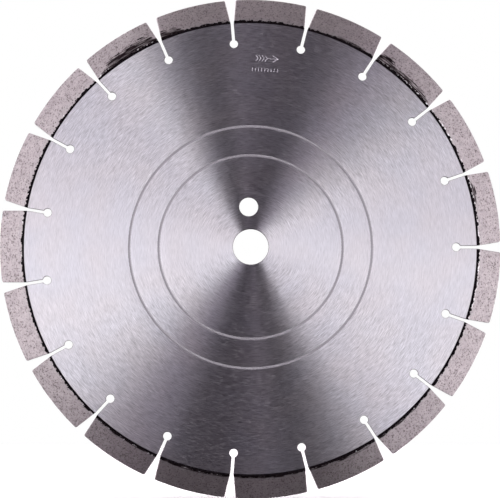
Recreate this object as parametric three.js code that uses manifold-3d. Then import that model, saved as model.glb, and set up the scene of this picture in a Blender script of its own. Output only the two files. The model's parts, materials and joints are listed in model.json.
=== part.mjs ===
// Segmented diamond blade for a masonry and concrete saw, 14 inches (355.6 mm) across.
//
// Millimetres, +Z up. The blade stands upright with its axis along Y: the origin is the centre of
// the arbor bore, half way through the steel, and the marked face looks towards -Y.
//
// From the middle outwards: a flat steel core with keyhole gullets cut in from its rim, then for
// each of the equal rim lengths a laser weld seam, a diamond-free backing and a diamond segment.

import * as THREE from 'three';
import { mergeVertices } from 'three/addons/utils/BufferGeometryUtils.js';
import Module from 'manifold-3d';

const INCH = 25.4;
const DEGREE = Math.PI / 180;

// Whole blade
const BLADE_RADIUS = 7 * INCH;
const SEGMENT_COUNT = 19;
const PITCH = (2 * Math.PI) / SEGMENT_COUNT;
const JOINT_GAP = 0.3; // left between pieces that are welded or sintered to each other

// Steel core and the holes through it
const CORE_THICKNESS = 2.4;
const CORE_RADIUS = 160.9;
const BORE_RADIUS = INCH / 2;
const PIN_HOLE_RADIUS = 6.75;
const PIN_HOLE_DISTANCE = 1.125 * INCH;
const PIN_HOLE_ANGLE = 92.9 * DEGREE; // from +X towards +Z

// Gullets: a straight slot from the rim down to a round keyhole
const SLOT_WIDTH = 2.2;
const KEYHOLE_RADIUS = 3;
const KEYHOLE_DISTANCE = 146.4;

// Tension rings: shallow bands rolled into both faces
const TENSION_RING_RADII = [65.4, 86.3];
const TENSION_RING_WIDTH = 2;
const TENSION_RING_DEPTH = 0.1;

// Rotation arrow engraved in the marked face, with a plain row of bars under it
const MARK_DEPTH = 0.1;
const MARK_STROKE = 0.35;
const SHAFT_STROKE = 0.3;
const MARK_TILT = -3 * DEGREE;
const ARROW_CENTRE = new THREE.Vector2(11.7, 135.2);
const ARROW_LENGTH = 16;
const CHEVRON_COUNT = 4;
const CHEVRON_PITCH = 2.2;
const CHEVRON_REACH = new THREE.Vector2(1.5, 2.1);
const HEAD_REACH = new THREE.Vector2(3.9, 2.2);
const BAR_ROW_SHIFT = -1.2; // to the left of the arrow's middle
const BAR_ROW_DROP = 8.3; // below the arrow
const BAR_COUNT = 9;
const BAR_PITCH = 2.25;
const BAR_HEIGHT = 2.2;

// Rim pieces, all with parallel ends
const RIM_PIECE_LENGTH = 2 * INCH;
const SEAM_THICKNESS = 2;
const SEAM_OUTER_RADIUS = 162.6;
const BACKING_THICKNESS = 3.2;
const BACKING_OUTER_RADIUS = 165.2;
const SEGMENT_THICKNESS = 3.2;
const SEGMENT_CORNER_RADIUS = 1;

// Steps along the round stretches
const RIM_STEPS = 6;
const KEYHOLE_STEPS = 12;
const CORNER_STEPS = 3;
const BORE_STEPS = 72;
const PIN_HOLE_STEPS = 36;
const TENSION_RING_STEPS = 76;

const wasm = await Module();
wasm.setup();

function steelMaterial() {
  return new THREE.MeshStandardMaterial({ color: 0xb9b6bd, roughness: 0.35, metalness: 1 });
}

function seamMaterial() {
  return new THREE.MeshStandardMaterial({ color: 0x1b1519, roughness: 0.75, metalness: 0.4 });
}

function backingMaterial() {
  return new THREE.MeshStandardMaterial({ color: 0xb4adb0, roughness: 0.5, metalness: 0.9 });
}

function segmentMaterial() {
  return new THREE.MeshStandardMaterial({ color: 0xa69c9f, roughness: 0.65, metalness: 0.8 });
}

// Points along an arc, both ends included.
function arcPoints(centreX, centreY, radius, start, end, steps) {
  const points = [];
  for (let i = 0; i <= steps; i += 1) {
    const angle = start + ((end - start) * i) / steps;
    const x = centreX + radius * Math.cos(angle);
    const y = centreY + radius * Math.sin(angle);
    points.push(new THREE.Vector2(x, y));
  }
  return points;
}

function circlePath(centreX, centreY, radius, steps) {
  const points = arcPoints(centreX, centreY, radius, 0, 2 * Math.PI, steps);
  return new THREE.Path(points.slice(0, steps));
}

// A plate of even thickness, centred on the mid-plane of the blade.
function plate(shape, thickness) {
  const geometry = new THREE.ExtrudeGeometry(shape, { depth: thickness, bevelEnabled: false });
  geometry.translate(0, 0, -thickness / 2);
  return geometry;
}

function toSolid(geometry) {
  const bare = geometry.clone();
  bare.deleteAttribute('normal');
  bare.deleteAttribute('uv');
  const merged = mergeVertices(bare);
  const vertProperties = new Float32Array(merged.getAttribute('position').array);
  const triVerts = new Uint32Array(merged.getIndex().array);
  return new wasm.Manifold(new wasm.Mesh({ numProp: 3, vertProperties, triVerts }));
}

function toGeometry(solid) {
  const { vertProperties, triVerts } = solid.getMesh();
  const indexed = new THREE.BufferGeometry();
  indexed.setAttribute('position', new THREE.BufferAttribute(vertProperties, 3));
  indexed.setIndex(new THREE.BufferAttribute(triVerts, 1));
  const geometry = indexed.toNonIndexed();
  geometry.computeVertexNormals();
  return geometry;
}

// The core's edge: a stretch of rim, then down one side of a slot, round its keyhole and back up.
function coreShape() {
  const rimHalf = Math.asin(SLOT_WIDTH / 2 / CORE_RADIUS);
  const keyholeHalf = Math.asin(SLOT_WIDTH / 2 / KEYHOLE_RADIUS);
  const points = [];
  for (let k = 0; k < SEGMENT_COUNT; k += 1) {
    const rimStart = k * PITCH + rimHalf;
    const slot = (k + 1) * PITCH;
    const x = KEYHOLE_DISTANCE * Math.cos(slot);
    const y = KEYHOLE_DISTANCE * Math.sin(slot);
    const keyholeStart = slot - keyholeHalf;
    const keyholeEnd = slot + keyholeHalf - 2 * Math.PI;
    points.push(...arcPoints(0, 0, CORE_RADIUS, rimStart, slot - rimHalf, RIM_STEPS));
    points.push(...arcPoints(x, y, KEYHOLE_RADIUS, keyholeStart, keyholeEnd, KEYHOLE_STEPS));
  }
  const shape = new THREE.Shape(points);
  const pinX = PIN_HOLE_DISTANCE * Math.cos(PIN_HOLE_ANGLE);
  const pinY = PIN_HOLE_DISTANCE * Math.sin(PIN_HOLE_ANGLE);
  shape.holes.push(circlePath(0, 0, BORE_RADIUS, BORE_STEPS));
  shape.holes.push(circlePath(pinX, pinY, PIN_HOLE_RADIUS, PIN_HOLE_STEPS));
  return shape;
}

// A ring that cuts one tension band. Its section is six-sided: flat-bottomed in the steel, with
// upright walls outside it. side is 1 for the marked face and -1 for the other.
function tensionRingCutter(radius, side) {
  const surface = (side * CORE_THICKNESS) / 2;
  const bottom = surface - side * TENSION_RING_DEPTH;
  const outside = surface + side * TENSION_RING_DEPTH;
  const half = TENSION_RING_WIDTH / 2;
  const section = [
    new THREE.Vector2(radius - half / 2, bottom),
    new THREE.Vector2(radius + half / 2, bottom),
    new THREE.Vector2(radius + half, surface),
    new THREE.Vector2(radius + half, outside),
    new THREE.Vector2(radius - half, outside),
    new THREE.Vector2(radius - half, surface),
    new THREE.Vector2(radius - half / 2, bottom),
  ];
  if (side < 0) {
    section.reverse();
  }
  const ring = new THREE.LatheGeometry(section, TENSION_RING_STEPS);
  ring.rotateX(Math.PI / 2);
  return toSolid(ring);
}

// One straight stroke of the marking, between two points of the mark's own plane.
function strokeCutter(from, to, width = MARK_STROKE) {
  const along = to.clone().sub(from);
  const stroke = new THREE.BoxGeometry(along.length() + width, width, 2 * MARK_DEPTH);
  stroke.rotateZ(along.angle());
  stroke.translate((from.x + to.x) / 2, (from.y + to.y) / 2, 0);
  stroke.rotateZ(MARK_TILT);
  stroke.translate(ARROW_CENTRE.x, ARROW_CENTRE.y, CORE_THICKNESS / 2);
  return toSolid(stroke);
}

// Two strokes that meet in a point on the right.
function chevronCutters(tipX, reach) {
  const tip = new THREE.Vector2(tipX, 0);
  const upper = new THREE.Vector2(tipX - reach.x, reach.y);
  const lower = new THREE.Vector2(tipX - reach.x, -reach.y);
  return [strokeCutter(upper, tip), strokeCutter(lower, tip)];
}

// The arrow points the way the top of the blade turns: tail chevrons, a shaft and a head.
function arrowCutters() {
  const tailTip = CHEVRON_REACH.x - ARROW_LENGTH / 2;
  const shaftStart = tailTip + (CHEVRON_COUNT - 1) * CHEVRON_PITCH;
  const headTip = ARROW_LENGTH / 2;
  const cutters = chevronCutters(headTip, HEAD_REACH);
  for (let i = 0; i < CHEVRON_COUNT; i += 1) {
    cutters.push(...chevronCutters(tailTip + i * CHEVRON_PITCH, CHEVRON_REACH));
  }
  const shaft = [new THREE.Vector2(shaftStart, 0), new THREE.Vector2(headTip, 0)];
  cutters.push(strokeCutter(...shaft, SHAFT_STROKE));
  return cutters;
}

function barCutters() {
  const cutters = [];
  for (let i = 0; i < BAR_COUNT; i += 1) {
    const x = BAR_ROW_SHIFT + (i - (BAR_COUNT - 1) / 2) * BAR_PITCH;
    const top = new THREE.Vector2(x, BAR_HEIGHT / 2 - BAR_ROW_DROP);
    const foot = new THREE.Vector2(x, -BAR_HEIGHT / 2 - BAR_ROW_DROP);
    cutters.push(strokeCutter(top, foot));
  }
  return cutters;
}

function steelCore() {
  let solid = toSolid(plate(coreShape(), CORE_THICKNESS));
  for (const radius of TENSION_RING_RADII) {
    solid = solid.subtract(tensionRingCutter(radius, 1));
    solid = solid.subtract(tensionRingCutter(radius, -1));
  }
  for (const cutter of [...arrowCutters(), ...barCutters()]) {
    solid = solid.subtract(cutter);
  }
  const core = new THREE.Mesh(toGeometry(solid), steelMaterial());
  core.name = 'steel_core';
  return core;
}

// One piece of the rim, drawn with the blade's axis below it: two arcs and two parallel ends.
function rimShape(innerRadius, outerRadius, cornerRadius) {
  const half = RIM_PIECE_LENGTH / 2;
  const cornerX = half - cornerRadius;
  const cornerY = Math.sqrt((outerRadius - cornerRadius) ** 2 - cornerX ** 2);
  const outer = Math.atan2(cornerY, cornerX);
  const inner = Math.acos(half / innerRadius);
  const points = [];
  if (cornerRadius > 0) {
    points.push(...arcPoints(cornerX, cornerY, cornerRadius, 0, outer, CORNER_STEPS).slice(0, -1));
  }
  points.push(...arcPoints(0, 0, outerRadius, outer, Math.PI - outer, RIM_STEPS));
  if (cornerRadius > 0) {
    const corner = arcPoints(-cornerX, cornerY, cornerRadius, Math.PI - outer, Math.PI, CORNER_STEPS);
    points.push(...corner.slice(1));
  }
  points.push(...arcPoints(0, 0, innerRadius, Math.PI - inner, inner, RIM_STEPS));
  return new THREE.Shape(points);
}

function weldSeam() {
  const shape = rimShape(CORE_RADIUS + JOINT_GAP, SEAM_OUTER_RADIUS, 0);
  return new THREE.Mesh(plate(shape, SEAM_THICKNESS), seamMaterial());
}

function segmentBacking() {
  const shape = rimShape(SEAM_OUTER_RADIUS + JOINT_GAP, BACKING_OUTER_RADIUS, 0);
  return new THREE.Mesh(plate(shape, BACKING_THICKNESS), backingMaterial());
}

function diamondSegment() {
  const shape = rimShape(BACKING_OUTER_RADIUS + JOINT_GAP, BLADE_RADIUS, SEGMENT_CORNER_RADIUS);
  return new THREE.Mesh(plate(shape, SEGMENT_THICKNESS), segmentMaterial());
}

// The pieces between two gullets, turned to their place on the rim.
function rimSector(index) {
  const number = String(index + 1).padStart(2, '0');
  const pieces = {
    weld_seam: weldSeam(),
    segment_backing: segmentBacking(),
    diamond_segment: diamondSegment(),
  };
  const sector = new THREE.Group();
  for (const [kind, piece] of Object.entries(pieces)) {
    piece.name = `${kind}_${number}`;
    sector.add(piece);
  }
  sector.rotation.z = (index + 0.5) * PITCH - Math.PI / 2;
  return sector;
}

// Drawn flat with its axis along Z, then stood up so that the marked face looks towards -Y.
function diamondBlade() {
  const blade = new THREE.Group();
  blade.add(steelCore());
  for (let i = 0; i < SEGMENT_COUNT; i += 1) {
    blade.add(rimSector(i));
  }
  blade.rotation.x = Math.PI / 2;
  return blade;
}

const group = new THREE.Group();
group.add(diamondBlade());

export default group;
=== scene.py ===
"""Looks of a 14 inch segmented diamond blade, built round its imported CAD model.

Metres, +Z up. The blade stands on its rim with its axis along Y and its marked face towards -Y.
Flat drawings of the blade use (x, z), in which +X runs right and +Z up as seen from the front.
"""
import json
import math

import bpy
import numpy as np
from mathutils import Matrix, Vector, noise
from mathutils.geometry import delaunay_2d_cdt


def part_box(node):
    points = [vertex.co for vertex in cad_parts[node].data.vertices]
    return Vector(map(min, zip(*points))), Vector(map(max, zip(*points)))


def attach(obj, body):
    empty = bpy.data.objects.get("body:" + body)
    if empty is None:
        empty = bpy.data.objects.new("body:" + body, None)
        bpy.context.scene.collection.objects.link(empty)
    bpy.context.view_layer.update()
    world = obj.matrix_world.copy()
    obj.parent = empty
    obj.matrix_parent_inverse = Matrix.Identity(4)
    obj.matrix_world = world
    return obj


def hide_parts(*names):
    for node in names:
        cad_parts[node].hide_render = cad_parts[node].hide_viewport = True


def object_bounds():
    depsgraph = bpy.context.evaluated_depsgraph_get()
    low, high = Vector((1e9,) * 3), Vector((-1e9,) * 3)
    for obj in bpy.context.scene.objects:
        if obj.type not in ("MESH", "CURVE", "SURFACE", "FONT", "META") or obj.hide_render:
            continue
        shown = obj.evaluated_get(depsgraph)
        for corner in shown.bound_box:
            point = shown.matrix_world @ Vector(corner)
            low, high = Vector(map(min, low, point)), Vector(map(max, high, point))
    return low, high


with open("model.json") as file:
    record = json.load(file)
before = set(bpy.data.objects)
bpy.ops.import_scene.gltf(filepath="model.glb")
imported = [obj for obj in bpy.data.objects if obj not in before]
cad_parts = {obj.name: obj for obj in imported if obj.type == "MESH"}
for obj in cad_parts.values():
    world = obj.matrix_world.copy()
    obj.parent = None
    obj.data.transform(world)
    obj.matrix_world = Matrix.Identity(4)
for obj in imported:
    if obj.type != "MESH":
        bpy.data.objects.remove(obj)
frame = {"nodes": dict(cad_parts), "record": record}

CAD_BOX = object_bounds()

# Sizes read from the frame. The core reaches a little past its CAD edge, to close the gap at the weld
BLADE_RADIUS = -CAD_BOX[0].x
FUSED_GAP = 0.0001
CORE_RADIUS = -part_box("steel_core")[0].x + FUSED_GAP
CORE_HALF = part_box("steel_core")[1].y
SEAM_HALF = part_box("weld_seam_01")[1].y
SEGMENT_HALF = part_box("diamond_segment_01")[1].y
SEGMENT_COUNT = sum(name.startswith("diamond_segment") for name in frame["nodes"])
MOUNT_DIMS = {mount["name"]: mount["dims"] for mount in frame["record"]["mounts"]}
BORE_RADIUS = MOUNT_DIMS["arbor"]["r_mm"] / 1000

# Sizes that the frame can't give, as in the CAD part
INCH = 0.0254
PITCH = math.tau / SEGMENT_COUNT
PIN_HOLE_RADIUS = 0.00675
PIN_HOLE_DISTANCE = 1.125 * INCH
PIN_HOLE_ANGLE = math.radians(92.9)
SLOT_WIDTH = 0.0022
KEYHOLE_RADIUS = 0.003
KEYHOLE_DISTANCE = 0.1464
TENSION_RING_RADII = (0.0654, 0.0863)
TENSION_RING_WIDTH = 0.002
TENSION_RING_DEPTH = 0.0001
RIM_PIECE_LENGTH = 2 * INCH
SEAM_OUTER_RADIUS = 0.1622
BACKING_OUTER_RADIUS = 0.16535
SEGMENT_CORNER = 0.001

# Rotation arrow and the plain bars under it
MARK_DEPTH = 0.0001
MARK_HALF_STROKE = 0.000175
SHAFT_HALF_STROKE = 0.00015
MARK_WALL = 0.00008
MARK_TILT = math.radians(-3)
ARROW_CENTRE = (0.0117, 0.1352)
ARROW_LENGTH = 0.016
CHEVRON_COUNT = 4
CHEVRON_PITCH = 0.0022
CHEVRON_REACH = (0.0015, 0.0021)
HEAD_REACH = (0.0039, 0.0022)
BAR_ROW_SHIFT = -0.0012
BAR_ROW_DROP = 0.0083
BAR_COUNT = 9
BAR_PITCH = 0.00225
BAR_HEIGHT = 0.0022

# Broken edges of the core and rounded edges of the rim pieces
CHAMFER = 0.0002
EDGE_ROUND = 0.00018

# Fineness of the meshes
RIM_STEPS = 44
KEYHOLE_STEPS = 36
SLOT_STEPS = 12
BORE_STEPS = 144
PIN_HOLE_STEPS = 96
STROKE_END_STEPS = 8
RING_STEPS = 360
RING_LINES = 9
CORE_SPACING = 0.006
MARK_SPACING = 0.0002
MERGE_DISTANCE = 1e-7
BLOCK_COLUMNS = 126
BLOCK_ROW = 0.0004
SHARP_ANGLE = math.radians(38)


# ---------------------------------------------------------------- flat drawing of the core

def arc(centre, radius, start, end, steps):
    """Points along an arc, both ends included."""
    angles = np.linspace(start, end, steps + 1)
    return np.column_stack((centre[0] + radius * np.cos(angles), centre[1] + radius * np.sin(angles)))


def circle(centre, radius, steps, clockwise=False):
    points = arc(centre, radius, 0, math.tau, steps)[:-1]
    return points[::-1] if clockwise else points


def between(start, end, steps):
    """Points inside a straight line, without its ends."""
    share = np.linspace(0, 1, steps + 1)[1:-1, None]
    return start + (end - start) * share


def polar(radius, angle):
    return np.array((radius * math.cos(angle), radius * math.sin(angle)))


def core_outline():
    """The core's edge, anticlockwise: rim, down a slot, round its keyhole and back up to the rim."""
    rim_half = math.asin(SLOT_WIDTH / 2 / CORE_RADIUS)
    keyhole_half = math.asin(SLOT_WIDTH / 2 / KEYHOLE_RADIUS)
    parts = []
    for k in range(SEGMENT_COUNT):
        slot = (k + 1) * PITCH
        rim = arc((0, 0), CORE_RADIUS, k * PITCH + rim_half, slot - rim_half, RIM_STEPS)
        keyhole = arc(
            polar(KEYHOLE_DISTANCE, slot), KEYHOLE_RADIUS,
            slot - keyhole_half, slot + keyhole_half - math.tau, KEYHOLE_STEPS,
        )
        next_rim = polar(CORE_RADIUS, slot + rim_half)
        down = between(rim[-1], keyhole[0], SLOT_STEPS)
        up = between(keyhole[-1], next_rim, SLOT_STEPS)
        parts += [rim, down, keyhole, up]
    return np.vstack(parts)


def core_loops():
    """Every edge of the core, each with the steel on its left."""
    pin = polar(PIN_HOLE_DISTANCE, PIN_HOLE_ANGLE)
    return [
        core_outline(),
        circle((0, 0), BORE_RADIUS, BORE_STEPS, clockwise=True),
        circle(pin, PIN_HOLE_RADIUS, PIN_HOLE_STEPS, clockwise=True),
    ]


def inset_loop(loop, distance):
    """The loop moved to its left, with its corners mitred."""
    along = np.roll(loop, -1, axis=0) - loop
    along /= np.linalg.norm(along, axis=1)[:, None]
    left = np.column_stack((-along[:, 1], along[:, 0]))
    mean = left + np.roll(left, 1, axis=0)
    mean /= np.linalg.norm(mean, axis=1)[:, None]
    stretch = np.sum(mean * left, axis=1)
    return loop + mean * (distance / stretch)[:, None]


def clearance(points):
    """How far inside the steel each point is: negative in a hole, a slot or past the rim."""
    x, z = points[:, 0], points[:, 1]
    radius = np.hypot(x, z)
    pin = polar(PIN_HOLE_DISTANCE, PIN_HOLE_ANGLE)
    from_pin = np.hypot(x - pin[0], z - pin[1]) - PIN_HOLE_RADIUS
    angle = np.arctan2(z, x)
    off_slot = angle - np.round(angle / PITCH) * PITCH
    out = radius * np.cos(off_slot)
    aside = radius * np.sin(off_slot)
    from_keyhole = np.hypot(out - KEYHOLE_DISTANCE, aside) - KEYHOLE_RADIUS
    from_slot = np.where(out > KEYHOLE_DISTANCE, np.abs(aside) - SLOT_WIDTH / 2, from_keyhole)
    walls = (radius - BORE_RADIUS, CORE_RADIUS - radius, from_pin, from_keyhole, from_slot)
    return np.minimum.reduce(walls)


def mark_strokes():
    """Straight strokes of the arrow and of the bars: a pair of points on the face and a half width."""
    half = ARROW_LENGTH / 2
    tail_tip = CHEVRON_REACH[0] - half
    tips = [(tail_tip + i * CHEVRON_PITCH, CHEVRON_REACH) for i in range(CHEVRON_COUNT)]
    strokes = [((tips[-1][0], 0), (half, 0))]
    half_widths = [SHAFT_HALF_STROKE]
    for tip, reach in tips + [(half, HEAD_REACH)]:
        for side in (1, -1):
            strokes.append(((tip - reach[0], side * reach[1]), (tip, 0)))
    for i in range(BAR_COUNT):
        x = BAR_ROW_SHIFT + (i - (BAR_COUNT - 1) / 2) * BAR_PITCH
        strokes.append(((x, -BAR_ROW_DROP - BAR_HEIGHT / 2), (x, -BAR_ROW_DROP + BAR_HEIGHT / 2)))
    cos, sin = math.cos(MARK_TILT), math.sin(MARK_TILT)
    turn = np.array(((cos, sin), (-sin, cos)))
    half_widths += [MARK_HALF_STROKE] * (len(strokes) - 1)
    placed = [np.array(ends) @ turn + ARROW_CENTRE for ends in strokes]
    return [(start, end, wide) for (start, end), wide in zip(placed, half_widths)]


def depth_inside(points, strokes):
    """How far inside the nearest stroke's edge each point is, negative outside every stroke."""
    deepest = np.full(len(points), -1.0)
    for start, end, wide in strokes:
        along = end - start
        share = np.clip((points - start) @ along / (along @ along), 0, 1)
        reach = np.linalg.norm(points - start - share[:, None] * along, axis=1)
        deepest = np.maximum(deepest, wide - reach)
    return deepest


def capsule(start, end, radius):
    """Outline of a straight stroke with round ends."""
    heading = math.atan2(end[1] - start[1], end[0] - start[0])
    far = arc(end, radius, heading - math.pi / 2, heading + math.pi / 2, STROKE_END_STEPS)
    near = arc(start, radius, heading + math.pi / 2, heading + math.pi * 1.5, STROKE_END_STEPS)
    return np.vstack((far, near))


def ring_offsets():
    return np.linspace(-TENSION_RING_WIDTH / 2, TENSION_RING_WIDTH / 2, RING_LINES)


def filler_points():
    """Points that keep the flat triangles small and even, well clear of every edge."""
    rings = []
    for middle in TENSION_RING_RADII:
        rings += [circle((0, 0), middle + off, RING_STEPS) for off in ring_offsets()]
    for radius in np.arange(BORE_RADIUS + CORE_SPACING / 2, CORE_RADIUS, CORE_SPACING):
        gap = min(abs(radius - middle) for middle in TENSION_RING_RADII)
        if gap > TENSION_RING_WIDTH:
            steps = round(math.tau * radius / CORE_SPACING)
            rings.append(circle((0, 0), radius, steps))
    points = np.vstack(rings)
    clear_of_edges = clearance(points) > CORE_SPACING / 4
    clear_of_marks = depth_inside(points, mark_strokes()) < -MARK_SPACING
    return points[clear_of_edges & clear_of_marks]


def face_depth(points, marked):
    """How far each point of a face is sunk: edge chamfers, tension rings and, on the front, marks."""
    depth = CHAMFER * np.clip(1 - clearance(points) / CHAMFER, 0, 1)
    radius = np.hypot(points[:, 0], points[:, 1])
    for middle in TENSION_RING_RADII:
        share = np.clip(np.abs(radius - middle) / (TENSION_RING_WIDTH / 2), 0, 1)
        depth += TENSION_RING_DEPTH * (1 + np.cos(math.pi * share)) / 2
    if marked:
        depth += MARK_DEPTH * np.clip(depth_inside(points, mark_strokes()) / MARK_WALL, 0, 1)
    return depth


def triangulate_core():
    """Even triangles over the steel's face, as points and anticlockwise corner triples."""
    loops = []
    for loop in core_loops():
        loops += [loop, inset_loop(loop, CHAMFER)]
    for start, end, wide in mark_strokes():
        loops += [capsule(start, end, wide), capsule(start, end, wide - MARK_WALL)]
    edges = []
    first = 0
    for loop in loops:
        ring = np.arange(first, first + len(loop))
        edges += list(zip(ring.tolist(), np.roll(ring, -1).tolist()))
        first += len(loop)
    given = [Vector(point) for point in np.vstack(loops + [filler_points()])]
    found = delaunay_2d_cdt(given, edges, [], 0, MERGE_DISTANCE)
    points = np.array([tuple(v) for v in found[0]])
    corners = np.array(found[2])
    middles = points[corners].mean(axis=1)
    corners = corners[clearance(middles) > 0]
    return points, corners


def boundary_edges(corners):
    """Edges that belong to one triangle only, in the direction that triangle runs them."""
    directed = np.vstack((corners[:, [0, 1]], corners[:, [1, 2]], corners[:, [2, 0]]))
    known = set(map(tuple, directed.tolist()))
    return [(a, b) for a, b in known if (b, a) not in known]


# ---------------------------------------------------------------- mesh helpers

def make_piece(name, vertices, faces, materials, material_ids=None, attributes=None):
    """A smooth-shaded mesh object whose sharp turns stay sharp."""
    mesh = bpy.data.meshes.new(name)
    mesh.from_pydata(vertices, [], faces)
    for material in materials:
        mesh.materials.append(material)
    if material_ids is not None:
        mesh.polygons.foreach_set("material_index", material_ids)
    for label, values in (attributes or {}).items():
        layer = mesh.attributes.new(label, "FLOAT", "POINT")
        layer.data.foreach_set("value", values.astype(np.float32))
    mesh.shade_smooth()
    mesh.set_sharp_from_angle(angle=SHARP_ANGLE)
    piece = bpy.data.objects.new(name, mesh)
    bpy.context.scene.collection.objects.link(piece)
    return piece


def stand_for(piece, slot, *nodes):
    """Parents the piece to the root body and hides the CAD nodes it stands in for."""
    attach(piece, "root")
    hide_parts(*nodes)


# ---------------------------------------------------------------- materials

def add_node(tree, kind, inputs=None, **settings):
    """One shader node. inputs maps a socket's name or number to a value or to another socket."""
    node = tree.nodes.new("ShaderNode" + kind)
    for setting, value in settings.items():
        setattr(node, setting, value)
    for key, value in (inputs or {}).items():
        if isinstance(value, bpy.types.NodeSocket):
            tree.links.new(value, node.inputs[key])
        else:
            node.inputs[key].default_value = value
    return node


def math_node(tree, operation, a, b=0.0, c=0.0, clamp=False):
    node = add_node(tree, "Math", {0: a, 1: b, 2: c}, operation=operation, use_clamp=clamp)
    return node.outputs[0]


def mix_colours(tree, factor, low, high):
    node = add_node(tree, "Mix", {0: factor, 6: low, 7: high}, data_type="RGBA")
    return node.outputs[2]


def scale_colour(tree, colour, amount):
    return add_node(tree, "VectorMath", {0: colour, 3: amount}, operation="SCALE").outputs[0]


def map_range(tree, value, low, high, to_low=0.0, to_high=1.0):
    node = add_node(tree, "MapRange", {0: value, 1: low, 2: high, 3: to_low, 4: to_high})
    return node.outputs[0]


def noise_at(tree, place, scale, detail=2.0, roughness=0.5):
    node = add_node(tree, "TexNoise", {
        "Vector": place, "Scale": scale, "Detail": detail, "Roughness": roughness,
    })
    return node.outputs[0]


def attribute(tree, name):
    return add_node(tree, "Attribute", attribute_name=name).outputs["Fac"]


class BladePlace:
    """Where a shading point is on the blade, as sockets, and lanes and directions that suit it."""

    def __init__(self, tree):
        self.tree = tree
        place = add_node(tree, "TexCoord").outputs["Object"]
        split = add_node(tree, "SeparateXYZ", {0: place})
        self.place = place
        self.x, _, self.z = split.outputs
        flat = math_node(tree, "MULTIPLY", self.z, self.z)
        self.radius = math_node(tree, "SQRT", math_node(tree, "MULTIPLY_ADD", self.x, self.x, flat))

    def lanes(self, width, length, layer=0.0):
        """Coordinates in which one unit is width across the grinding lines and length along them."""
        across = math_node(self.tree, "MULTIPLY_ADD", self.radius, 1 / width, layer)
        x = math_node(self.tree, "MULTIPLY", self.x, 1 / length)
        z = math_node(self.tree, "MULTIPLY", self.z, 1 / length)
        return add_node(self.tree, "CombineXYZ", {0: across, 1: x, 2: z}).outputs[0]

    def radial_tangent(self, swing):
        """The outward direction, swung a little by a small signed amount."""
        back = math_node(self.tree, "MULTIPLY", swing, -1.0)
        x = math_node(self.tree, "MULTIPLY_ADD", back, self.z, self.x)
        z = math_node(self.tree, "MULTIPLY_ADD", swing, self.x, self.z)
        flat = add_node(self.tree, "CombineXYZ", {0: x, 2: z}).outputs[0]
        return add_node(self.tree, "VectorMath", {0: flat}, operation="NORMALIZE").outputs[0]


def new_material(name):
    """An empty material: its tree and the Principled shader that ends it."""
    material = bpy.data.materials.new(name)
    material.use_nodes = True
    tree = material.node_tree
    return material, tree, tree.nodes["Principled BSDF"]


# The grinding lines pass this far to one side of the axis, so they spiral near the bore
SCRATCH_OFFSET = 0.0018
# Stray scratches cross the others by up to about this much, in radians
STRAY_SWING = 0.04
# How strongly the hairlines show in the base colour over most of the disc, and level with the axis, where
# they are painted fainter because the light floods the metal there
HAIR_CONTRASTS = (0.5, 0.2)
HAIR_LEVELS = (0.84, 0.99)
# Metallic of the dull scuffs low and high on the blade, and how far from the axis that is
SCUFF_METALLIC = (0.91, 0.962)
SCUFF_REACH = 0.12
STEEL_TONES = ((0.62, 0.605, 0.62, 1), (0.605, 0.605, 0.635, 1))


def brushed_steel():
    """Flat steel ground in circles: reflections spread outwards, under fine dull and bright hairlines."""
    material, tree, shader = new_material("brushed_steel")
    blade = BladePlace(tree)
    hairs = noise_at(tree, blade.lanes(0.0003, 0.005), 1.0, 2.0, 0.6)
    strays = noise_at(tree, blade.lanes(0.00045, 0.0032, 31.0), 1.0, 1.0, 0.5)
    scuffs = noise_at(tree, blade.lanes(0.0004, 0.0045, 57.0), 1.0, 1.0, 0.5)
    mottle = noise_at(tree, blade.place, 30.0, 1.0, 0.5)
    wobble = map_range(tree, strays, 0.3, 0.7, -STRAY_SWING, STRAY_SWING)
    swing = math_node(tree, "ADD", wobble, math_node(tree, "DIVIDE", -SCRATCH_OFFSET, blade.radius))
    tree.links.new(blade.radial_tangent(swing), shader.inputs["Tangent"])
    tone = mix_colours(tree, map_range(tree, mottle, 0.35, 0.65), *STEEL_TONES)
    # Painted light: the hairlines' colour contrast is lowered level with the axis, where the lights are
    # brightest
    level = math_node(tree, "DIVIDE", math_node(tree, "ABSOLUTE", blade.x), blade.radius)
    contrast = map_range(tree, level, *HAIR_LEVELS, *HAIR_CONTRASTS)
    ripple = map_range(tree, hairs, 0.2, 0.8, -1.0, 1.0)
    shade = math_node(tree, "MULTIPLY_ADD", ripple, contrast, 1.0)
    tree.links.new(scale_colour(tree, tone, shade), shader.inputs["Base Color"])
    scuffed = map_range(tree, blade.z, -SCUFF_REACH, SCUFF_REACH, *SCUFF_METALLIC)
    tree.links.new(map_range(tree, scuffs, 0.48, 0.68, 1.0, scuffed), shader.inputs["Metallic"])
    shader.inputs["Roughness"].default_value = 0.3
    shader.inputs["Anisotropic"].default_value = 1.0
    return material


def burnished_steel():
    """The rolled tension rings: even, soft shine in every direction."""
    material, tree, shader = new_material("burnished_steel")
    blade = BladePlace(tree)
    wear = noise_at(tree, blade.lanes(0.0006, 0.02), 1.0, 2.0, 0.5)
    tone = mix_colours(tree, wear, (0.32, 0.31, 0.325, 1), (0.42, 0.41, 0.425, 1))
    tree.links.new(tone, shader.inputs["Base Color"])
    tree.links.new(map_range(tree, wear, 0.3, 0.7, 0.38, 0.5), shader.inputs["Roughness"])
    shader.inputs["Metallic"].default_value = 1.0
    return material


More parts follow.
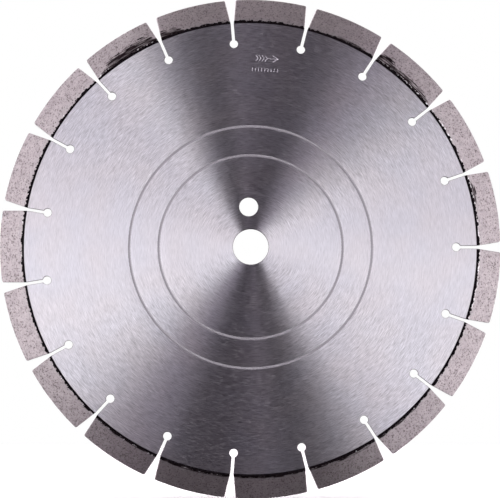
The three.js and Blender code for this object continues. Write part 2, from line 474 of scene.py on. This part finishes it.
def cut_edge_and_shade_steel():
    """Laser-cut walls of the bore, the slots and the rim, with fine lines across the plate, and the
    chamfers round the holes and slots; its dark tone is partly the cut steel's own and partly painted
    shade outlining those edges.
    """
    material, tree, shader = new_material("cut_edge_and_shade_steel")
    blade = BladePlace(tree)
    stretched = add_node(tree, "VectorMath", {0: blade.place, 1: (2500, 500, 2500)}, operation="MULTIPLY")
    lines = noise_at(tree, stretched.outputs[0], 1.0, 3.0, 0.6)
    # Dark tone: the cut steel's own colour, and painted shade where it covers the chamfers
    tone = mix_colours(tree, lines, (0.05, 0.04, 0.04, 1), (0.2, 0.18, 0.18, 1))
    tree.links.new(tone, shader.inputs["Base Color"])
    tree.links.new(map_range(tree, lines, 0.3, 0.7, 0.35, 0.55), shader.inputs["Roughness"])
    height = add_node(tree, "Bump", {"Strength": 0.6, "Distance": 0.00005, "Height": lines})
    tree.links.new(height.outputs[0], shader.inputs["Normal"])
    shader.inputs["Metallic"].default_value = 1.0
    return material


def etched_steel():
    """Floor of the engraved marks: pale, matt and finely pitted."""
    material, tree, shader = new_material("etched_steel")
    blade = BladePlace(tree)
    grain = noise_at(tree, blade.place, 6000.0, 2.0, 0.6)
    tone = mix_colours(tree, grain, (0.78, 0.76, 0.79, 1), (0.92, 0.90, 0.93, 1))
    tree.links.new(tone, shader.inputs["Base Color"])
    height = add_node(tree, "Bump", {"Strength": 0.5, "Distance": 0.00003, "Height": grain})
    tree.links.new(height.outputs[0], shader.inputs["Normal"])
    shader.inputs["Metallic"].default_value = 1.0
    shader.inputs["Roughness"].default_value = 0.6
    return material


PIT_COLOUR = (0.07, 0.05, 0.05, 1)
CRUST_COLOURS = ((0.012, 0.007, 0.009, 1), (0.11, 0.08, 0.085, 1))
# Painted glint: near-white colour of the ground flecks beside the weld
FLECK_GLINT_COLOUR = (0.95, 0.94, 0.94, 1)
BURNT_COLOUR = (0.008, 0.005, 0.006, 1)


def ground_bond(name, tones, speck_strength, roughness):
    """Sintered metal bond, ground flat.

    It has specks, pits and grinding lines, dark skin where it was left unground, burnt teeth beside the
    weld, bright ground flecks there painted near white as glints, and painted shade in some sectors.
    """
    material, tree, shader = new_material(name)
    blade = BladePlace(tree)
    lines = noise_at(tree, blade.lanes(0.0004, 0.006), 1.0, 3.0, 0.6)
    cloud = noise_at(tree, blade.place, 260.0, 3.0, 0.6)
    grain = noise_at(tree, blade.lanes(0.0006, 0.0014, 3.0), 1.0, 2.0, 0.6)
    tone = mix_colours(tree, map_range(tree, cloud, 0.35, 0.65), *tones)
    streaks = map_range(tree, lines, 0.25, 0.75, 0.88, 1.12)
    # The tone attribute darkens some sectors' bond colour: painted shade
    shade = math_node(tree, "MULTIPLY", streaks, attribute(tree, "tone"))
    specks = map_range(tree, grain, 0.55, 0.66, 0.0, speck_strength)
    pits = math_node(tree, "MAXIMUM", specks, attribute(tree, "pit"), clamp=True)
    pitted = mix_colours(tree, pits, scale_colour(tree, tone, shade), PIT_COLOUR)
    scratches = noise_at(tree, blade.lanes(0.0004, 0.006, 7.0), 1.0, 3.0, 0.7)
    crust = mix_colours(tree, map_range(tree, scratches, 0.45, 0.8), *CRUST_COLOURS)
    skinned = mix_colours(tree, attribute(tree, "skin"), pitted, crust)
    above = math_node(tree, "SUBTRACT", blade.radius, SEAM_OUTER_RADIUS)
    # Painted glints: flecks beside the weld turned near white
    glint_flecked = mix_colours(tree, weld_glint_flecks(tree, blade, above), skinned, FLECK_GLINT_COLOUR)
    teeth = weld_teeth(tree, blade, above)
    tree.links.new(mix_colours(tree, teeth, glint_flecked, BURNT_COLOUR), shader.inputs["Base Color"])
    dull = math_node(tree, "MAXIMUM", pits, attribute(tree, "skin"), clamp=True)
    dull = math_node(tree, "MAXIMUM", dull, teeth, clamp=True)
    tree.links.new(map_range(tree, dull, 0.0, 1.0, roughness, 0.65), shader.inputs["Roughness"])
    tree.links.new(map_range(tree, pits, 0.0, 1.0, 0.92, 0.8), shader.inputs["Metallic"])
    swing = map_range(tree, lines, 0.25, 0.75, -0.04, 0.04)
    tree.links.new(blade.radial_tangent(swing), shader.inputs["Tangent"])
    height = add_node(tree, "Bump", {"Strength": 0.03, "Distance": 0.00006, "Height": grain})
    tree.links.new(height.outputs[0], shader.inputs["Normal"])
    shader.inputs["Anisotropic"].default_value = 1.0
    return material


# How far out from the seam the teeth reach at least and at most, and half the width of their blurred edge
TOOTH_REACH = (-0.0001, 0.0011)
TOOTH_BLUR = 0.00008


def weld_teeth(tree, blade, above):
    """1 on the burnt teeth that the weld throws out over the backing, 0 beyond them."""
    teeth = noise_at(tree, blade.lanes(0.006, 0.0026, 13.0), 1.0, 2.0, 0.6)
    reach = map_range(tree, teeth, 0.4, 0.6, *TOOTH_REACH)
    return map_range(tree, math_node(tree, "SUBTRACT", reach, above), -TOOTH_BLUR, TOOTH_BLUR)


# The crest's middle above the seam, and how far from it the flecks begin to thin out and stop
CREST_HEIGHT = 0.0006
CREST_EDGES = (0.0003, 0.0006)
FLECK_BOOST = 0.16


def weld_glint_flecks(tree, blade, above):
    """1 on bright flecks where the grinding wheel just touched the crest beside the weld, painted near
    white as glints.
    """
    off_crest = math_node(tree, "ABSOLUTE", math_node(tree, "SUBTRACT", above, CREST_HEIGHT))
    crest = map_range(tree, off_crest, *CREST_EDGES, 1.0, 0.0)
    dots = noise_at(tree, blade.lanes(0.0016, 0.0022, 23.0), 1.0, 2.0, 0.6)
    lit = math_node(tree, "MULTIPLY_ADD", attribute(tree, "flecks"), FLECK_BOOST, dots)
    return math_node(tree, "MULTIPLY", crest, map_range(tree, lit, 0.65, 0.69))


def weld_oxide():
    """The weld bead: near-black scale with ripples, burnt dark by the laser."""
    material, tree, shader = new_material("weld_oxide")
    blade = BladePlace(tree)
    scale = noise_at(tree, blade.place, 1400.0, 3.0, 0.65)
    grey = map_range(tree, scale, 0.4, 0.75)
    tone = mix_colours(tree, grey, (0.004, 0.003, 0.004, 1), (0.03, 0.022, 0.026, 1))
    tree.links.new(tone, shader.inputs["Base Color"])
    height = add_node(tree, "Bump", {"Strength": 0.8, "Distance": 0.00008, "Height": scale})
    tree.links.new(height.outputs[0], shader.inputs["Normal"])
    shader.inputs["Metallic"].default_value = 1.0
    shader.inputs["Roughness"].default_value = 0.6
    return material


# ---------------------------------------------------------------- steel core

# Share of a tension ring's width that is burnished
BURNISHED_SHARE = 0.9


def build_core():
    """The steel core: one mesh, with a material each for its faces, rings, cut edges and marks."""
    points, corners = triangulate_core()
    count = len(points)
    front_y = face_depth(points, marked=True) - CORE_HALF
    back_y = CORE_HALF - face_depth(points, marked=False)
    front = np.column_stack((points[:, 0], front_y, points[:, 1]))
    back = np.column_stack((points[:, 0], back_y, points[:, 1]))
    walls = [(b, a, a + count, b + count) for a, b in boundary_edges(corners)]
    faces = corners.tolist() + (corners[:, ::-1] + count).tolist() + walls

    middles = points[corners].mean(axis=1)
    radius = np.hypot(middles[:, 0], middles[:, 1])
    on_ring = np.zeros(len(corners), bool)
    for middle in TENSION_RING_RADII:
        on_ring |= np.abs(radius - middle) < BURNISHED_SHARE * TENSION_RING_WIDTH / 2
    on_mark = depth_inside(middles, mark_strokes()) > 0
    on_edge = clearance(middles) < CHAMFER * 0.9
    on_rim = on_edge & (CORE_RADIUS - radius < CHAMFER)
    # Chamfers round holes and slots take the dark cut-edge colour: painted shade along those edges
    back_ids = np.where(on_ring | on_rim, 1, np.where(on_edge, 2, 0))
    front_ids = np.where(on_mark, 3, back_ids)
    ids = np.concatenate((front_ids, back_ids, np.full(len(walls), 2)))

    materials = [brushed_steel(), burnished_steel(), cut_edge_and_shade_steel(), etched_steel()]
    core = make_piece("blade_core", np.vstack((front, back)), faces, materials, ids)
    stand_for(core, "core_steel", "steel_core")


# ---------------------------------------------------------------- rim pieces

def block_places(columns, rows, stations):
    """A closed block's vertices as (along -1..1, out 0..1, depth station) and its faces.

    The two gridded faces carry the first and last station, and a ring round the edge each other one.
    """
    wide = rows + 1
    grid = [(2 * i / columns - 1, j / rows) for i in range(columns + 1) for j in range(wide)]
    edge = [i * wide for i in range(columns + 1)]
    edge += [columns * wide + j for j in range(1, wide)]
    edge += [i * wide + rows for i in range(columns - 1, -1, -1)]
    edge += list(range(rows - 1, 0, -1))
    front = [
        (i * wide + j, (i + 1) * wide + j, (i + 1) * wide + j + 1, i * wide + j + 1)
        for i in range(columns) for j in range(rows)
    ]
    places = [(a, b, 0) for a, b in grid]
    rings = [edge]
    for station in range(1, stations - 1):
        rings.append(list(range(len(places), len(places) + len(edge))))
        places += [(*grid[k], station) for k in edge]
    first_back = len(places)
    places += [(a, b, stations - 1) for a, b in grid]
    rings.append([k + first_back for k in edge])
    faces = front + [tuple(k + first_back for k in reversed(face)) for face in front]
    for near, far in zip(rings, rings[1:]):
        for k in range(len(edge)):
            n = (k + 1) % len(edge)
            faces.append((near[n], near[k], far[k], far[n]))
    return np.array(places), faces


def depth_stations(half):
    """Depths through a block with rounded edges, and how far the outline is pulled in at each."""
    turn = 1 - math.sqrt(0.5)
    near = [(-half, EDGE_ROUND), (-half + turn * EDGE_ROUND, turn * EDGE_ROUND), (-half + EDGE_ROUND, 0)]
    steps = round(2 * half / BLOCK_ROW)
    middle = [(y, 0) for y in np.linspace(-half + EDGE_ROUND, half - EDGE_ROUND, steps)[1:-1]]
    far = [(-y, inset) for y, inset in reversed(near)]
    return np.array(near + middle + far)


class RimBlock:
    """A block of the rim with parallel ends, drawn with the blade's axis straight below it."""

    def __init__(self, inner, outer, half, round_inner=True, round_outer=True, corner=0.0):
        stations = depth_stations(half)
        rows = max(4, round((outer - inner) / BLOCK_ROW))
        places, self.faces = block_places(BLOCK_COLUMNS, rows, len(stations))
        self.y, inset = stations[places[:, 2].astype(int)].T
        low = inner + inset * round_inner
        high = outer - inset * round_outer
        length = RIM_PIECE_LENGTH / 2 - inset
        self.along = places[:, 0] * length
        self.radius = low + places[:, 1] * (high - low)
        self._round_corners(length, high, np.maximum(corner - inset, 0))

    def _round_corners(self, length, high, corner):
        beside = np.abs(self.along) - (length - corner)
        beyond = self.radius - (high - corner)
        inside = (beside > 0) & (beyond > 0)
        largest = np.maximum(beside, beyond)[inside]
        squeeze = largest / np.hypot(beside[inside], beyond[inside])
        squeezed_along = (length - corner)[inside] + beside[inside] * squeeze
        self.along[inside] = np.sign(self.along[inside]) * squeezed_along
        self.radius[inside] = (high - corner)[inside] + beyond[inside] * squeeze

    def vertices(self, index, sink):
        """World places for one sector, each face sunk towards the mid-plane."""
        middle = (index + 0.5) * PITCH
        out = np.sqrt(self.radius ** 2 - self.along ** 2)
        x = out * math.cos(middle) + self.along * math.sin(middle)
        z = out * math.sin(middle) - self.along * math.cos(middle)
        y = self.y - np.sign(self.y) * sink
        return np.column_stack((x, y, z))


def noise_line(columns, seed):
    """Smooth noise from -1 to 1 at each row of the given coordinate columns."""
    offset = 17.3 * seed
    stack = np.column_stack(columns).astype(float)
    return np.array([noise.noise(Vector((row[0] + offset, *row[1:]))) for row in stack.tolist()])


# Dark patches that the face grinding missed: sector, middle and half length along it, height
SKIN_PATCHES = (
    (0, -0.013, 0.012, 0.0024),
    (2, -0.021, 0.010, 0.0052),
    (2, -0.007, 0.013, 0.0034),
    (2, 0.012, 0.015, 0.0036),
    (3, 0.006, 0.018, 0.0015),
    (5, -0.021, 0.014, 0.0044),
    (6, 0.004, 0.021, 0.0050),
    (6, -0.012, 0.013, 0.0020),
    (6, 0.019, 0.009, 0.0028),
    (12, 0.0, 0.050, 0.0010),
    (13, 0.0, 0.050, 0.0013),
    (14, 0.0, 0.050, 0.0014),
    (15, 0.0, 0.050, 0.0014),
    (16, 0.010, 0.035, 0.0013),
)


# Skin left beside every weld, and how much it varies
SKIN_LEVEL = 0.0001
SKIN_SWING = 0.0003
# Length and height of the streaks that break the skin up, and the blur of its upper edge
STREAK_SIZE = (0.009, 0.0006)
SKIN_BLUR = 0.0005


def skin_height(block, index, side):
    """How far out from the weld the unground skin reaches: almost nothing, except in the patches."""
    seed = index + 40 * side
    flat = np.zeros_like(block.along)
    slow = noise_line((block.along / STREAK_SIZE[0], flat, flat + 9.0), seed)
    height = SKIN_LEVEL + SKIN_SWING * slow
    if side == 0:
        for sector, middle, half, tall in SKIN_PATCHES:
            if sector == index:
                share = np.clip(1 - ((block.along - middle) / half) ** 2, 0, 1)
                height += tall * share
    return height


def skin_field(block, index):
    """0 where the block is ground clean, 1 where its dark sintered skin is left, in long streaks."""
    skin = np.zeros_like(block.along)
    above = block.radius - SEAM_OUTER_RADIUS
    for side in (0, 1):
        here = block.y < 0 if side == 0 else block.y >= 0
        layer = np.full_like(block.along, 1.0 + side)
        lanes = (block.along / STREAK_SIZE[0], block.radius / STREAK_SIZE[1], layer)
        streaks = noise_line(lanes, index)
        reach = skin_height(block, index, side) * (1 + 0.9 * streaks)
        body = np.clip((reach - above) / SKIN_BLUR + 0.5, 0, 1)
        worn = np.where(above < SKIN_BLUR, 1, np.clip(0.95 + 1.5 * streaks, 0.25, 1))
        skin[here] = (body * worn)[here]
    return skin


PIT_SIZES = (0.00025, 0.0005)
BACKING_PITS = 30
SEGMENT_PITS = 150


def pit_field(block, rng, count):
    """Round dents scattered over both faces: up to 1 at a dent's middle, 0 past its edge."""
    pit = np.zeros_like(block.along)
    for side in (-1, 1):
        here = np.flatnonzero(side * block.y > 0)
        along = rng.uniform(-RIM_PIECE_LENGTH / 2, RIM_PIECE_LENGTH / 2, count)
        radius = rng.uniform(block.radius.min(), block.radius.max(), count)
        size = rng.uniform(*PIT_SIZES, count)
        strength = rng.uniform(0.35, 1.0, count)
        for a, r, s, k in zip(along, radius, size, strength):
            far = np.hypot(block.along[here] - a, block.radius[here] - r) / s
            pit[here] = np.maximum(pit[here], k * np.clip(1.4 - far, 0, 1))
    return pit


# How many bright flecks, painted near white as glints, there are beside the weld, in the sectors that
# have any
GLINT_FLECK_SECTORS = {0: 0.7, 1: 0.7, 2: 0.9, 6: 0.5, 9: 0.4, 11: 0.4, 12: 0.3, 18: 1.0}
# Painted shade: how bright some sectors' bond is painted, as a share of the others', darker mostly low on
# the blade
SECTOR_PAINTED_SHADES = {6: 0.88, 11: 0.88, 12: 0.7, 13: 0.8, 14: 0.8, 15: 0.7, 16: 0.88}


BACKING_TONES = ((0.48, 0.435, 0.44, 1), (0.54, 0.50, 0.50, 1))
DIAMOND_TONES = ((0.48, 0.43, 0.435, 1), (0.57, 0.52, 0.52, 1))
# How far the seam reaches in under the core and out under the backing
SEAM_OVERLAPS = (0.0001, 0.0002)


def build_rim():
    """The welds, backings and diamond segments, one of each between two slots."""
    oxide = weld_oxide()
    backing_bond = ground_bond("backing_bond", BACKING_TONES, 0.35, 0.34)
    diamond_bond = ground_bond("diamond_bond", DIAMOND_TONES, 0.65, 0.36)
    seam = RimBlock(CORE_RADIUS - SEAM_OVERLAPS[0], SEAM_OUTER_RADIUS + SEAM_OVERLAPS[1], SEAM_HALF)
    backing = RimBlock(SEAM_OUTER_RADIUS, BACKING_OUTER_RADIUS, SEGMENT_HALF, round_outer=False)
    segment = RimBlock(
        BACKING_OUTER_RADIUS, BLADE_RADIUS, SEGMENT_HALF, round_inner=False, corner=SEGMENT_CORNER,
    )
    for index in range(SEGMENT_COUNT):
        number = f"_{index + 1:02d}"
        rng = np.random.default_rng(1000 + index)
        bead = build_seam("weld_bead" + number, seam, index, oxide)
        stand_for(bead, "weld_oxide", "weld_seam" + number)
        foot = build_block("segment_foot" + number, backing, index, backing_bond, rng, BACKING_PITS)
        stand_for(foot, "backing_bond", "segment_backing" + number)
        cutter = build_block("cutting_segment" + number, segment, index, diamond_bond, rng, SEGMENT_PITS)
        stand_for(cutter, "diamond_bond", "diamond_segment" + number)


# How deep the weld's ripples and lumps are, and the pits, the skin and the waves of the ground faces
RIPPLE_DEPTH = 0.00006
LUMP_DEPTH = 0.00008
PIT_DEPTH = 0.000015
SKIN_DEPTH = 0.00006
WAVE_DEPTH = 0.00001


def build_seam(name, block, index, material):
    face = np.sign(block.y)
    ripples = noise_line((block.along / 0.0007, block.radius / 0.002, face), index)
    lumps = noise_line((block.along / 0.004, block.radius / 0.002, face), index + 5)
    sink = RIPPLE_DEPTH * ripples + LUMP_DEPTH * lumps
    return make_piece(name, block.vertices(index, sink), block.faces, [material])


def build_block(name, block, index, material, rng, pits):
    skin = skin_field(block, index)
    pit = pit_field(block, rng, pits)
    flecks = np.full(len(pit), GLINT_FLECK_SECTORS.get(index, 0.0))
    # Painted shade: darker bond colour in some sectors, mostly low on the blade
    tone = np.full(len(pit), SECTOR_PAINTED_SHADES.get(index, 1.0))
    wave = noise_line((block.along / 0.006, block.radius / 0.003, np.sign(block.y)), index + 200)
    sink = PIT_DEPTH * pit + SKIN_DEPTH * skin + WAVE_DEPTH * wave
    return make_piece(
        name, block.vertices(index, sink), block.faces, [material],
        attributes={"skin": skin, "pit": pit, "flecks": flecks, "tone": tone},
    )


# ---------------------------------------------------------------- stage, light and camera

# Brightness of the studio tent round the blade's axis, by degrees from +X through the top
TENT_STOPS = (
    (0, 2.6), (20, 0.8), (35, 0.7), (50, 0.2), (61, 0.75), (64, 0.0), (80, 0.25), (88, 0.25),
    (91, 0.7), (94, 0.0), (106, 0.3), (112, 1.9), (118, 3.1), (124, 0.6), (140, 0.95), (160, 1.9),
    (180, 3.2), (200, 3.1), (215, 2.35), (230, 0.5), (239, 0.4), (242, 1.1), (245, 0.0), (273, 0.0),
    (276, 0.7), (279, 0.0), (305, 0.0), (316, 1.6), (330, 3.1), (360, 2.6),
)
# The ramp node holds brightness as a share of a value a little above the brightest stop
RAMP_HEADROOM = 1.1
# The dark gap between the boxes that the camera looks through
GAP_AXIS = (0.05, -0.999, 0.0)
GAP_EDGES = (0.985, 0.95)
GAP_COLOUR = (0.0, 0.0, 0.0, 1)
# How strong the boxes are beside that gap and, past these edges, towards the blade's sides
BOX_STRENGTHS = (1.21, 0.45)
BOX_EDGES = (0.82, 0.62)
# What matt surfaces get from the tent
TENT_SOFT_COLOUR = (0.2, 0.19, 0.2, 1)


def tent_colour(brightness):
    """Near white where the tent is bright, violet where it is dim."""
    share = min(brightness / 2.5, 1.0)
    return (1.0, 0.84 + 0.13 * share, 1.07 - 0.06 * share)


def tent_ramp(tree, x, z):
    """Colour of the tent by angle round the blade's axis, for a direction's x and z."""
    angle = math_node(tree, "ARCTAN2", z, x)
    turn = math_node(tree, "FRACT", math_node(tree, "MULTIPLY_ADD", angle, 1 / math.tau, 1.0))
    ramp = add_node(tree, "ValToRGB", {0: turn})
    brightest = RAMP_HEADROOM * max(brightness for _, brightness in TENT_STOPS)
    elements = ramp.color_ramp.elements
    for degrees, _ in TENT_STOPS[1:-1]:
        elements.new(degrees / 360)
    for element, (degrees, brightness) in zip(elements, TENT_STOPS):
        element.position = degrees / 360
        element.color = (*(brightness * part / brightest for part in tent_colour(brightness)), 1)
    return scale_colour(tree, ramp.outputs[0], brightest)


def build_world():
    """A white tent that the camera sees as plain white and the metal sees as two tall soft boxes."""
    world = bpy.data.worlds.new("studio_tent")
    bpy.context.scene.world = world
    world.use_nodes = True
    tree = world.node_tree
    direction = add_node(tree, "TexCoord").outputs["Generated"]
    x, _, z = add_node(tree, "SeparateXYZ", {0: direction}).outputs
    toward = add_node(tree, "VectorMath", {0: direction, 1: GAP_AXIS}, operation="DOT_PRODUCT")
    facing = math_node(tree, "ABSOLUTE", toward.outputs["Value"])
    strength = map_range(tree, facing, *BOX_EDGES, *BOX_STRENGTHS)
    tent = scale_colour(tree, tent_ramp(tree, x, z), strength)
    lit = mix_colours(tree, map_range(tree, facing, *GAP_EDGES), GAP_COLOUR, tent)
    path = add_node(tree, "LightPath").outputs
    soft = mix_colours(tree, path["Is Diffuse Ray"], lit, TENT_SOFT_COLOUR)
    white = mix_colours(tree, path["Is Camera Ray"], soft, (1.0, 1.0, 1.0, 1))
    tree.links.new(white, tree.nodes["Background"].inputs["Color"])


FLOOR_HALF = 3.0
FLOOR_TONES = ((0.90, 0.90, 0.90, 1), (0.93, 0.93, 0.93, 1))


def build_floor():
    """A pale floor under the blade's lowest point, hidden from reflections so that it stays a stage."""
    half = FLOOR_HALF
    level = CAD_BOX[0].z
    corners = [(-half, -half, level), (half, -half, level), (half, half, level), (-half, half, level)]
    material, tree, shader = new_material("pale_floor")
    grain = noise_at(tree, add_node(tree, "TexCoord").outputs["Object"], 40.0, 2.0, 0.5)
    tree.links.new(mix_colours(tree, grain, *FLOOR_TONES), shader.inputs["Base Color"])
    shader.inputs["Roughness"].default_value = 0.9
    floor = make_piece("floor", corners, [(0, 1, 2, 3)], [material])
    floor.visible_glossy = False
    floor.visible_diffuse = False


LAMP_COLOUR = (1.0, 0.93, 0.97)


def add_lamp(name, kind, energy, place, aim):
    """A lamp that the metal doesn't mirror, so its dark wedges stay dark."""
    light = bpy.data.lights.new(name, kind)
    light.energy = energy
    light.color = LAMP_COLOUR
    lamp = bpy.data.objects.new(name, light)
    lamp.location = place
    lamp.rotation_euler = (Vector(aim) - Vector(place)).to_track_quat("-Z", "Y").to_euler()
    lamp.visible_glossy = False
    bpy.context.scene.collection.objects.link(lamp)
    return light


def build_lamps():
    """A broad one that whitens the floor, and one near the top of the blade that lifts its upper rim."""
    add_lamp("overhead", "SUN", 4.0, (0, 0, 2), (0, 0, 0)).angle = math.radians(30)
    add_lamp("top_fill", "AREA", 9.0, (0, -0.3, 0.5), (0, 0, 0.15)).size = 0.4


CAMERA_DISTANCE = 1.465
CAMERA_AZIMUTH = math.radians(-1.1)
CAMERA_ELEVATION = math.radians(-4.8)
CAMERA_LENS = 148.3
CAMERA_AIM = (-0.0005, 0, -0.0015)


def build_camera():
    """A long lens, a little below the axis, so that the disc just fills the frame."""
    data = bpy.data.cameras.new("camera")
    data.sensor_width = 36
    data.lens = CAMERA_LENS
    camera = bpy.data.objects.new("camera", data)
    flat = CAMERA_DISTANCE * math.cos(CAMERA_ELEVATION)
    camera.location = (
        flat * math.sin(CAMERA_AZIMUTH),
        -flat * math.cos(CAMERA_AZIMUTH),
        CAMERA_DISTANCE * math.sin(CAMERA_ELEVATION),
    )
    aim = Vector(CAMERA_AIM) - camera.location
    camera.rotation_euler = aim.to_track_quat("-Z", "Y").to_euler()
    bpy.context.scene.collection.objects.link(camera)
    bpy.context.scene.camera = camera


build_core()
build_rim()
build_world()
build_floor()
build_lamps()
build_camera()
bpy.context.scene.view_settings.view_transform = "Standard"
